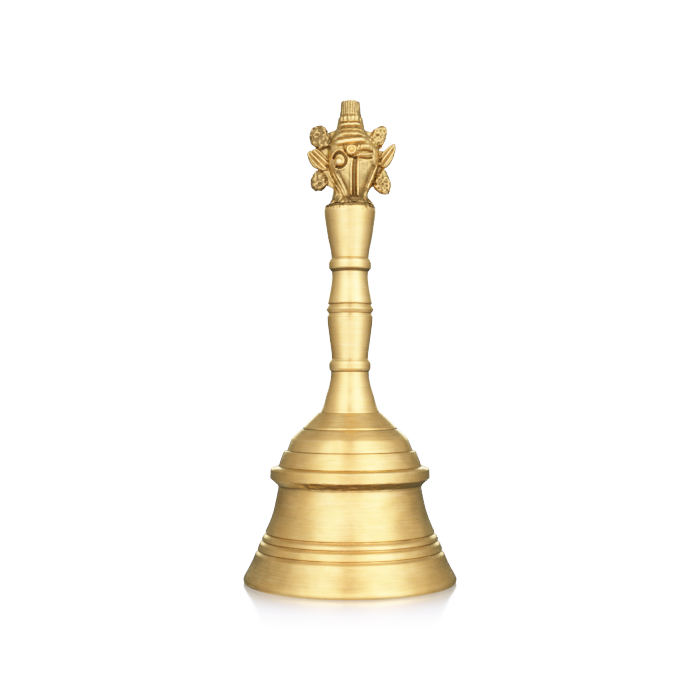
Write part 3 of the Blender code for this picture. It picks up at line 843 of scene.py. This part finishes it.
    # panels beside the nose: full near it, falling away to the diagonal cuts
    left_edge = np.interp(fz, [131.5, 141.0], [0.2, -4.6])
    right_edge = np.interp(fz, [131.5, 142.5], [3.6, 8.0])
    low = (1 - step(fz, 140.4, 142.2)) * step(fz, 130.9, 132.0)
    fall_l = np.clip((fx - left_edge) / (0.35 - left_edge), 0, 1)
    h += low * (0.95 * fall_l - 0.42) * step(fx, left_edge - 0.3, left_edge + 0.3) * (1 - step(fx, 0.3, 1.0))
    low_r = (1 - step(fz, 143.3, 144.0)) * step(fz, 130.9, 132.0)
    fall_r = np.clip((right_edge - fx) / (right_edge - 2.7), 0, 1)
    h += low_r * (0.95 * fall_r - 0.45) * (1 - step(fx, right_edge - 0.3, right_edge + 0.3)) * step(fx, 2.3, 2.9)
    h -= 0.58 * stroke(fx, fz, curve([(-4.5, 139.9), (-3.1, 137.6), (-1.6, 134.6), (-0.5, 131.4)]), 0.56)
    h -= 0.45 * stroke(fx, fz, curve([(-5.6, 140.0), (-4.0, 137.0), (-2.4, 134.0), (-1.3, 131.6)]), 0.28)
    h -= 0.55 * stroke(fx, fz, curve([(-6.7, 140.2), (-4.9, 136.9), (-3.2, 133.9), (-2.1, 131.6)]), 0.30)
    h -= 0.50 * stroke(fx, fz, curve([(-7.9, 140.2), (-5.8, 136.4), (-3.8, 133.2)]), 0.30)
    h -= 0.68 * stroke(fx, fz, curve([(8.3, 142.3), (7.0, 139.2), (5.4, 135.4), (4.3, 132.0)]), 0.58)
    h += 0.25 * stroke(fx, fz, curve([(9.0, 141.8), (7.6, 138.2), (6.2, 134.6)]), 0.40)
    h -= 0.50 * stroke(fx, fz, curve([(9.7, 141.6), (8.4, 138.0), (6.8, 134.4), (5.9, 132.2)]), 0.32)
    # rim of the face against the side ornaments
    rim_l = np.interp(fz, [140, 143, 147, 150], [-7.5, -7.8, -7.8, -7.4])
    rim_r = np.interp(fz, [140, 143, 147, 150], [9.9, 10.4, 10.4, 10.0])
    beside = step(fz, 139.5, 141) * (1 - step(fz, 149.6, 150.6))
    worn = 0.45 + 0.55 * step(np.sin(fz * 1.9 + 0.6), -0.4, 0.6)
    h -= beside * (0.42 * worn * np.exp(-(((fx - rim_l) / 0.40) ** 2)) + 0.62 * np.exp(-(((fx - rim_r) / 0.5) ** 2)))
    face = h

    # turban: rim band, cuts, two more bands, a row of beads, and a fluted stub
    wave = 0.05 * np.sin(fx * 1.15 + 0.8) + 0.04 * np.sin(fx * 2.7 + fz * 0.6) + 0.014 * (fx - 0.6) ** 2
    tilt = fz - 0.125 * (fx - 0.2) - 0.35 * np.exp(-((fx + 5.5) / 2.0) ** 2) + 0.6 * wave
    high_z = fz
    fz = fz + wave - 0.35 * step(fz, 154.5, 156.5)
    b = np.zeros_like(fx)
    b += 0.72 * np.exp(-(((tilt - 150.55) / 0.78) ** 4))
    b -= 0.60 * np.exp(-(((tilt - 149.25) / 0.40) ** 2)) * (np.abs(fx) < 9)
    b -= 0.55 * np.exp(-(((fz - 0.07 * fx - 152.05) / 0.34) ** 2))
    b += 0.45 * np.exp(-(((fz - 0.02 * fx - 153.2) / 0.62) ** 4))
    b -= 0.35 * np.exp(-(((fz + 0.01 * fx - 154.25) / 0.24) ** 2))
    b += 0.20 * np.exp(-(((fz - 154.75) / 0.3) ** 2))
    b -= 0.45 * np.exp(-(((fz - 155.35) / 0.28) ** 2))
    b += 0.60 * np.exp(-(((fz - 0.03 * fx - 156.25) / 0.48) ** 4))
    b -= 0.50 * np.exp(-(((fz - 157.05) / 0.30) ** 2))
    for bx, bz, br in ((-3.15, 158.35, 0.66), (-1.75, 158.35, 0.68), (-0.35, 158.4, 0.70), (1.0, 158.45, 0.72), (2.5, 158.6, 1.02),
                       (3.9, 158.2, 0.45), (-4.2, 158.1, 0.45)):
        b += 0.80 * np.exp(-((((fx - bx) ** 2 * 1.3 + (fz - 0.1 - bz) ** 2 * 0.42) / br**2) ** 1.5))
    b -= 0.30 * step(fz, 157.4, 157.8) * (1 - step(fz, 159.0, 159.5))
    b += 0.35 * stroke(fx, fz, [(-4.3, 157.6), (-2.2, 157.5)], 0.22)
    b -= 0.42 * np.exp(-(((fz - 159.75) / 0.26) ** 2)) * step(fx, -4.5, -3.0)
    ring_part = step(fz, 148.8, 149.3) * (1 - step(fz, 164.9, 165.1))
    reach = np.interp(fz, tz, [5.4, 6.4, 6.85, 6.75, 6.2, 5.35, 4.85, 4.6, 4.3, 3.75, 3.5, 3.45, 3.25, 2.7])
    b = b * ring_part * (1 - 0.92 * step(np.abs(fx - 0.2) / reach, 0.58, 0.96))
    fz = high_z

    # the back is plainer: the same bands, a spine, and four slanting cuts
    back = b * 0.55
    back += 0.45 * np.exp(-(((fx - 0.3) / 0.9) ** 2)) * step(fz, 132.5, 134) * (1 - step(fz, 147, 149))
    for k in range(4):
        top = 147.6 - 3.1 * k
        back -= 0.55 * (stroke(fx, fz, [(1.8, top - 1.6), (7.2, top + 0.9)], 0.34)
                        + stroke(fx, fz, [(-1.3, top - 1.6), (-6.2, top + 0.9)], 0.34))
    back -= 0.45 * beside * (np.exp(-(((fx - rim_l) / 0.45) ** 2)) + np.exp(-(((fx - rim_r) / 0.5) ** 2)))

    front = step(-y, -0.6, 1.2)
    RELIEF.update(x=x[:, 0, 0], z=zz, front=face + b + marks, back=back + marks * 0.9, grains=grains)
    relief = front * (face + b + marks)[g] + (1 - front) * (back + marks * 0.9)[g]
    d = d - relief * 0.92

    # flutes round the stub, then the lumps and grain of the casting, only near the surface
    near = np.abs(d) < 1.1
    i = np.argwhere(near)
    p = np.column_stack([x[i[:, 0], 0, 0], y[0, i[:, 1], 0], zz[i[:, 2]]])
    change = 0.10 * cloud(p, 1.5, 31, 2) + 0.035 * noise(p, 0.55, 32)
    around = np.arctan2(p[:, 1], p[:, 0] - 0.2)
    stub = step(p[:, 2], 159.9, 160.5)
    flute = np.sin(around * 24 + 2.2 * noise(np.column_stack([p[:, 0], p[:, 1], p[:, 2] * 0.4]), 2.0, 33))
    change += stub * (0.055 * flute + 0.12 * noise(np.column_stack([p[:, 0], p[:, 1], p[:, 2] * 0.3]), 0.7, 34))
    change += step(p[:, 2], 163.8, 164.8) * 0.22 * cloud(p, 1.6, 35, 2)
    grain = grains[i[:, 0], i[:, 2]]
    bead = noise(p, 1.5, 36)
    change += grain * (0.34 * bead + 0.34 * noise(p, 0.70, 37) + 0.10)
    foot = 1 - step(p[:, 2], 130.2, 132.6)
    shaft = np.column_stack([p[:, 0], p[:, 1], p[:, 2] * 0.45])
    change += foot * (0.70 * cloud(shaft, 1.5, 38, 2) + 0.28 * noise(shaft, 0.8, 39))
    slope = (1 - step(p[:, 2], 132.5, 136)) * step(p[:, 2], 131, 132)
    change += slope * 0.20 * cloud(shaft, 1.3, 40, 2)
    d[near] -= change
    # the tang that goes down into the handle
    tang = rod_field(x, y, z, 2.5, 120.0, 131.5, 0.25)
    return np.minimum(d, tang)


def finial_grime_and_shade(v):
    """More brown low on the neck, where it meets the handle, and on the sides of the head. Painted shade on the lobes
    at the left, and painted light on the lobes at the upper right.
    """
    front = step(-v[:, 1], -0.6, 1.2)
    h = on_relief("front", v) * front + on_relief("back", v) * (1 - front)
    grains = np.clip(on_relief("grains", v), 0, 1)
    lumps = cloud(v, 1.6, 61, 2)
    low = 1 - step(v[:, 2], 130.0, 132.6)
    side = np.abs(v[:, 0] - 1.3) > 7.2
    web = side * (1 - grains) * step(h, -0.05, 0.05) * (1 - step(h, 0.05, 0.12))
    patch = cloud(v, 3.2, 62, 3)
    stub = step(v[:, 2], 159.9, 160.6)
    around = np.arctan2(v[:, 1], v[:, 0] - 0.2)
    flute = np.sin(around * 24 + 2.2 * noise(np.column_stack([v[:, 0], v[:, 1], v[:, 2] * 0.4]), 2.0, 33))
    lump = noise(v, 0.70, 37)
    x, z = v[:, 0], v[:, 2]
    # painted shade: the lobes at the left are darker; painted light: the lobes at the upper right are lighter
    left = grains * (x < 0) * 0.36 - grains * (x > 0) * (z > 147) * 0.20
    shaft = (1 - step(z, 130.5, 134.0)) * 0.16
    right_panel = step(x, 2.6, 3.2) * (1 - step(x, 5.6, 6.8)) * step(z, 136, 138) * (1 - step(z, 142.5, 144)) * 0.42
    edge = step(np.abs(x - 0.4), 9.6, 10.4) * step(z, 141.2, 142.2) * (1 - step(z, 150.2, 151.0)) * (1 - grains) * 0.05
    nose = np.exp(-(np.abs(x - np.interp(z, [131, 136, 141, 145], [1.55, 1.45, 1.5, 1.75])) / 0.62) ** 3) * step(z, 131, 132) * (1 - step(z, 144.4, 145.2)) * 0.34
    high = step(z, 149.8, 151.0) * (1 - grains) * 0.16
    boss = np.exp(-((((x - 0.55) ** 2 + (z - 147.45) ** 2) / 4.4) ** 2)) * 0.24
    return (step(-h, 0.12, 0.80) * 0.50 - step(h, 0.20, 0.60) * 0.34 + low * (0.60 + 0.5 * lumps)
            + grains * (0.40 - 0.34 * lump + 0.25 * lumps) + 0.16 * web + 0.08 + 0.22 * patch
            + stub * (0.36 - 0.14 * flute) + left + shaft + high + edge + 0.05 + (right_panel + nose - boss) * front)


finial = carved("mask_finial", (-16.8, -8.6, 119.6), (17.2, 8.6, 166.1), 0.17, finial_field, 1, (0.13, 0.60), finial_grime_and_shade)
place(finial, "bell", "cast_brass", [cast], "finial")


# ---- eye bolt, washer and nut ------------------------------------------------------------------
def thread(x, y, z, pitch=0.8):
    turn = np.arctan2(y, x) / math.tau
    t = (z / pitch - turn) % 1.0
    return np.abs(t * 2 - 1)


def bolt_field(x, y, z):
    x, y, z = np.broadcast_arrays(x, y, z)
    shank = rod_field(x, y, z, 2.5, 45.9, 70.0, 0.35)
    shank = shank + 0.30 * thread(x, y, z) * step(z, 46.9, 47.4)
    eye = torus(y, z - 42.8, x, 3.6, 1.2)
    return join(shank, eye, 0.55)


bolt = carved("bolt", (-3.3, -5.4, 37.6), (3.3, 5.4, 70.6), 0.15, bolt_field, 1, (0.12, 0.4))
place(bolt, "bell", "plated_steel", [steel], "eye_bolt")

washer = turned("washer", [(2.8, 53.7, 0.1), (5.45, 53.7, 0.14), (5.6, 53.2, 0.14), (5.5, 52.7, 0.12), (2.8, 52.7, 0.16)],
                96, True, widest=0.3)
place(washer, "bell", "plated_steel", [steel], "clamp_washer")


def nut_field(x, y, z):
    x, y, z = np.broadcast_arrays(x, y, z)
    flats = -np.inf * np.ones(x.shape)
    for k in range(3):
        a = math.radians(60 * k + 30)
        flats = np.maximum(flats, np.abs(x * math.cos(a) + y * math.sin(a)) - 4.0)
    r = np.sqrt(x * x + y * y)
    chamfer = np.maximum((r + (z - 52.4) * 1.7 - 4.12) * 0.5, (r - (z - 48.4) * 1.7 - 4.12) * 0.5)
    body = np.maximum(np.maximum(flats, chamfer), np.maximum(48.4 - z, z - 52.4))
    bore = 2.86 - r - 0.16 * thread(x, y, z)
    mouth = 3.2 - np.minimum(z - 48.4, 52.4 - z) * 0.9 - r
    return np.maximum(body, np.maximum(bore, mouth))


nut = carved("nut", (-5.0, -5.0, 48.1), (5.0, 5.0, 52.7), 0.11, nut_field, 1, (0.12, 0.4))
place(nut, "bell", "plated_steel", [steel], "clamp_nut")


# ---- link and clapper --------------------------------------------------------------------------
def link_field(x, y, z):
    x, y, z = np.broadcast_arrays(x, y, z)
    d = torus(x, z - 37.8, y, 3.9, 1.0)
    # the brazed joint of the ring, at its upper left
    a = math.radians(148)
    cx, cz = 3.9 * math.cos(a), 37.8 + 3.9 * math.sin(a)
    return join(d, ellipsoid(x, y, z, (cx, 0.0, cz), (1.12, 1.10, 1.12)), 0.25)


link = carved("link_ring", (-5.4, -1.5, 32.5), (5.4, 1.5, 43.1), 0.11, link_field, 1, (0.12, 0.4))
place(link, "link", "brass_wire", [wire], "clapper_link")


def rod_shape_field(x, y, z):
    x, y, z = np.broadcast_arrays(x, y, z)
    eye = torus(y, z - 33.0, x, 3.3, 1.1)
    shank = rod_field(x, y, z, 1.1, 2.6, 30.6, 0.2)
    wrap = rod_field(x, y, z, 1.32, 27.4, 29.0, 0.3)
    foot = ellipsoid(x, y, z, (0.0, 0.0, 2.95), (2.3, 2.3, 1.0))
    foot = np.maximum(foot, z - 3.28)
    return np.minimum(join(join(eye, shank, 0.5), wrap, 0.25), foot)


rod = carved("clapper_wire", (-2.9, -4.9, 1.5), (2.9, 4.9, 38.0), 0.13, rod_shape_field, 1, (0.12, 0.4))
place(rod, "clapper", "brass_wire", [wire], "clapper_rod")


def bob_shape(v, r, z, angle):
    """A little ragged at the crown, with small dents where it strikes the cup."""
    ca, sa = np.cos(angle), np.sin(angle)
    belt = np.exp(-(((z - 10.5) / 2.0) ** 2)) * (r > 5)
    dent = -0.10 * step(noise(v, 1.6, 51), 0.25, 0.7) * belt
    soft = 0.02 * cloud(v, 3.0, 52)
    shift = (dent + soft) * (r > 1.6)
    return v + np.column_stack([ca * shift, sa * shift, 0 * shift]), -dent * 2.0


bob_side = [(7.0 * math.cos(math.radians(a)), 10.5 + 7.0 * math.sin(math.radians(a))) for a in range(58, -71, -8)]
bob = turned(
    "bob",
    [(1.4, 18.9, 0.12), (2.4, 18.9, 0.2), (2.75, 18.4, 0.16), (2.75, 17.55, 0.16), (2.45, 17.05, 0.08), (3.6, 16.5, 0.25)]
    + bob_side[:7] + [(7.0 + 0.0, 10.6, 0.08), (6.86, 10.3, 0.06), (6.97, 10.0, 0.08)] + bob_side[8:]
    + [(2.2, 3.6, 0.2), (1.4, 3.6, 0.12)],
    112, True, bob_shape, widest=0.4)
place(bob, "clapper", "turned_brass", [bob_brass], "clapper_bob")


# ---- floor, backdrop, light and camera ---------------------------------------------------------
def only_camera(obj):
    obj.visible_diffuse = obj.visible_glossy = obj.visible_transmission = False
    obj.visible_volume_scatter = obj.visible_shadow = False


WHITE = 4.6

dome_angle = np.arange(48) / 48 * math.tau
lat = np.radians(np.linspace(-89.9, 89.9, 25))
dome_v = np.array([[3000 * math.cos(b) * math.cos(a), 3000 * math.cos(b) * math.sin(a), 3000 * math.sin(b)]
                   for b in lat for a in dome_angle])
dome_q = [(i * 48 + j, (i + 1) * 48 + j, (i + 1) * 48 + (j + 1) % 48, i * 48 + (j + 1) % 48)
          for i in range(24) for j in range(48)]
backdrop = mesh_piece("backdrop", dome_v, dome_q)
m, t = start("backdrop_white")
node(t, "ShaderNodeOutputMaterial",
     {"Surface": node(t, "ShaderNodeEmission", {"Color": (1, 1, 1, 1), "Strength": WHITE}).outputs[0]})
backdrop.data.materials.append(m)
only_camera(backdrop)

floor_r = [0.0, 20.0, 60.0, 200.0, 800.0, 2500.0]
floor_v = np.array([[r * math.cos(a), r * math.sin(a), -0.02] for r in floor_r for a in dome_angle])
floor_q = [(i * 48 + j, (i + 1) * 48 + j, (i + 1) * 48 + (j + 1) % 48, i * 48 + (j + 1) % 48)
           for i in range(5) for j in range(48)]
floor = mesh_piece("floor", floor_v, floor_q)
m, t = start("floor_white")
# The floor glows evenly white far out. Towards the bell its glow fades with distance from the axis and a glossy mirror
# of the same share takes its place: a painted contact shade round the foot, with the bell's real reflection in it.
distance = node(t, "ShaderNodeVectorMath", {0: node(t, "ShaderNodeTexCoord").outputs["Object"]}, operation="LENGTH").outputs["Value"]
contact_shade_mirror = node(t, "ShaderNodeValToRGB", {"Fac": maths(t, "MULTIPLY", distance, 10.0)})
contact_shade_stops = [(0.34, 0.94), (0.385, 0.91), (0.44, 0.85), (0.52, 0.72), (0.60, 0.60), (0.66, 0.48), (0.75, 0.28), (0.90, 0.0)]
while len(contact_shade_mirror.color_ramp.elements) < len(contact_shade_stops):
    contact_shade_mirror.color_ramp.elements.new(0.5)
for e, (at, c) in zip(contact_shade_mirror.color_ramp.elements, contact_shade_stops):
    e.position, e.color = at, (c, c, c, 1.0)
base = node(t, "ShaderNodeEmission", {"Color": (1, 1, 1, 1), "Strength": maths(t, "MULTIPLY", maths(t, "SUBTRACT", 1.0, contact_shade_mirror.outputs["Color"]), WHITE)})
mirror = node(t, "ShaderNodeBsdfGlossy", {"Color": contact_shade_mirror.outputs["Color"], "Roughness": 0.12})
glow = node(t, "ShaderNodeAddShader", {0: base.outputs[0], 1: mirror.outputs[0]})
clear = node(t, "ShaderNodeBsdfTransparent")
under = node(t, "ShaderNodeNewGeometry").outputs["Backfacing"]
node(t, "ShaderNodeOutputMaterial",
     {"Surface": node(t, "ShaderNodeMixShader", {0: under, 1: glow.outputs[0], 2: clear.outputs[0]}).outputs[0]})
floor.data.materials.append(m)
only_camera(floor)

# The studio: two large soft boxes in front, a dim gap between them, a paler ceiling, dark behind and below.
world = bpy.data.worlds.new("studio")
scene.world = world
world.use_nodes = True
t = world.node_tree
t.nodes.clear()
way = node(t, "ShaderNodeSeparateXYZ", {0: node(t, "ShaderNodeTexCoord").outputs["Generated"]})
azimuth = maths(t, "ARCTAN2", way.outputs[0], maths(t, "MULTIPLY", way.outputs[1], -1.0))
share = maths(t, "ADD", maths(t, "DIVIDE", azimuth, math.tau), 0.5)
AROUND = [(-180, .19), (-140, .23), (-130, .27), (-120, .30), (-110, .38), (-100, .50), (-90, .58), (-80, .72), (-70, .92),
          (-60, 1.30), (-52, 1.75), (-42, 2.30), (-32, 2.90), (-18, 2.90), (-12, 1.42), (-5, 0.76), (4, 0.96), (9, 1.66), (15, 2.65),
          (26, 2.95), (31, 3.35), (42, 3.25), (52, 2.85), (62, 2.15), (70, 1.50), (80, 1.10), (90, .83), (100, .63),
          (112, .47), (124, .34), (138, .24), (180, .18)]
ramp = node(t, "ShaderNodeValToRGB", {"Fac": share})
ramp.color_ramp.interpolation = "LINEAR"
while len(ramp.color_ramp.elements) < len(AROUND):
    ramp.color_ramp.elements.new(0.5)
for e, (at, level) in zip(ramp.color_ramp.elements, AROUND):
    e.position, e.color = at / 360 + 0.5, (level / 4, level / 4, level / 4, 1.0)
level = maths(t, "MULTIPLY", ramp.outputs["Color"], 4.0)
height = way.outputs[2]
up = node(t, "ShaderNodeValToRGB", {"Fac": maths(t, "ADD", maths(t, "MULTIPLY", height, 0.5), 0.5)})
UP = [(-90, .10), (-40, .20), (-25, .40), (-16, .74), (-11, .90), (-7, .80), (-3, .58), (1, .57), (6, .86), (20, 1.0), (34, 1.0), (44, .96), (56, .86), (68, .72), (90, .50)]
while len(up.color_ramp.elements) < len(UP):
    up.color_ramp.elements.new(0.5)
for e, (at, k) in zip(up.color_ramp.elements, UP):
    e.position, e.color = math.sin(math.radians(at)) / 2 + 0.5, (k, k, k, 1.0)
fill = node(t, "ShaderNodeValToRGB", {"Fac": maths(t, "ADD", maths(t, "MULTIPLY", height, 0.5), 0.5)})
FILL = [(-60, .8), (-20, 1.0), (-9, 1.0), (-4, .20), (1, .10), (7, .50), (14, .75), (26, .98), (34, .12), (45, 0.0)]
while len(fill.color_ramp.elements) < len(FILL):
    fill.color_ramp.elements.new(0.5)
for e, (at, k) in zip(fill.color_ramp.elements, FILL):
    e.position, e.color = math.sin(math.radians(at)) / 2 + 0.5, (k, k, k, 1.0)
gap = between(t, maths(t, "ABSOLUTE", maths(t, "ADD", azimuth, math.radians(2.0))), math.radians(20), math.radians(6), 0.0, 2.1)
level = maths(t, "ADD", level, maths(t, "MULTIPLY", gap, fill.outputs["Color"]))
level = maths(t, "MULTIPLY", level, up.outputs["Color"])
behind = between(t, maths(t, "ABSOLUTE", azimuth), math.radians(90), math.radians(150))
level = maths(t, "ADD", level, maths(t, "MULTIPLY", behind, between(t, height, 0.05, 0.5, 0.0, 0.13)))
over = between(t, height, math.sin(math.radians(48)), math.sin(math.radians(80)))
beneath = between(t, height, math.sin(math.radians(-18)), math.sin(math.radians(-50)))
ceiling = between(t, way.outputs[1], 0.0, 0.55, 0.60, 0.22)
ceiling = maths(t, "ADD", ceiling, between(t, maths(t, "ABSOLUTE", way.outputs[0]), 0.06, 0.35, 0.0, 0.20))
level = maths(t, "ADD", maths(t, "MULTIPLY", level, maths(t, "SUBTRACT", 1.0, over)), maths(t, "MULTIPLY", over, ceiling))
level = maths(t, "ADD", maths(t, "MULTIPLY", level, maths(t, "SUBTRACT", 1.0, beneath)), maths(t, "MULTIPLY", beneath, 0.68))
level = maths(t, "MULTIPLY", level, 1.50)
# the white sweep behind the bell, low down, where the glossy floor shows it
low_down = maths(t, "MULTIPLY", between(t, height, math.sin(math.radians(5.2)), math.sin(math.radians(8.6))),
                 between(t, height, math.sin(math.radians(19.0)), math.sin(math.radians(13.2))))
sweep = maths(t, "MULTIPLY", low_down, between(t, maths(t, "ABSOLUTE", azimuth), math.radians(146), math.radians(168)))
level = maths(t, "ADD", maths(t, "MULTIPLY", level, maths(t, "SUBTRACT", 1.0, sweep)), maths(t, "MULTIPLY", sweep, WHITE))
# the room seen between the soft boxes is warm
warm = between(t, maths(t, "ABSOLUTE", maths(t, "ADD", azimuth, math.radians(1.0))), math.radians(45), math.radians(13))
warm = maths(t, "MULTIPLY", warm, maths(t, "SUBTRACT", 1.0, over))
room = blend(t, warm, (1.0, 1.0, 1.0), (1.0, 0.895, 0.885))
node(t, "ShaderNodeOutputWorld",
     {"Surface": node(t, "ShaderNodeBackground", {"Color": room, "Strength": level}).outputs[0]})

# The print's soft shoulder: bright parts fade to white as they do on film.
scene.view_settings.view_transform = "Standard"
scene.view_settings.look = "None"
scene.view_settings.use_curve_mapping = True
shoulder = scene.view_settings.curve_mapping
shoulder.white_level = (4.0, 4.0, 4.0)
line = shoulder.curves[3]
while len(line.points) > 2:
    line.points.remove(line.points[1])
for x in (0.02, 0.05, 0.09, 0.14, 0.20, 0.28, 0.38, 0.50, 0.65, 0.80):
    line.points.new(x, 1 - math.exp(-4.8 * x))
line.points[0].location = (0.0, 0.0)
line.points[-1].location = (1.0, 1.0)
blue = shoulder.curves[2]
for x, y in ((0.12, 0.12), (0.20, 0.20), (0.28, 0.30), (0.36, 0.397), (0.48, 0.555), (0.70, 0.785)):
    blue.points.new(x, y)
shoulder.update()

lens = bpy.data.cameras.new("camera")
lens.sensor_width = 36.0
lens.lens = 36.0 * 1150 / 700
lens.clip_start, lens.clip_end = 0.01, 20.0
camera = bpy.data.objects.new("camera", lens)
lens.shift_y = 34.5 / 700
camera.location = (0.0, -0.39655, 0.0677)
camera.rotation_euler = (math.radians(90), 0.0, 0.0)
scene.collection.objects.link(camera)
scene.camera = camera
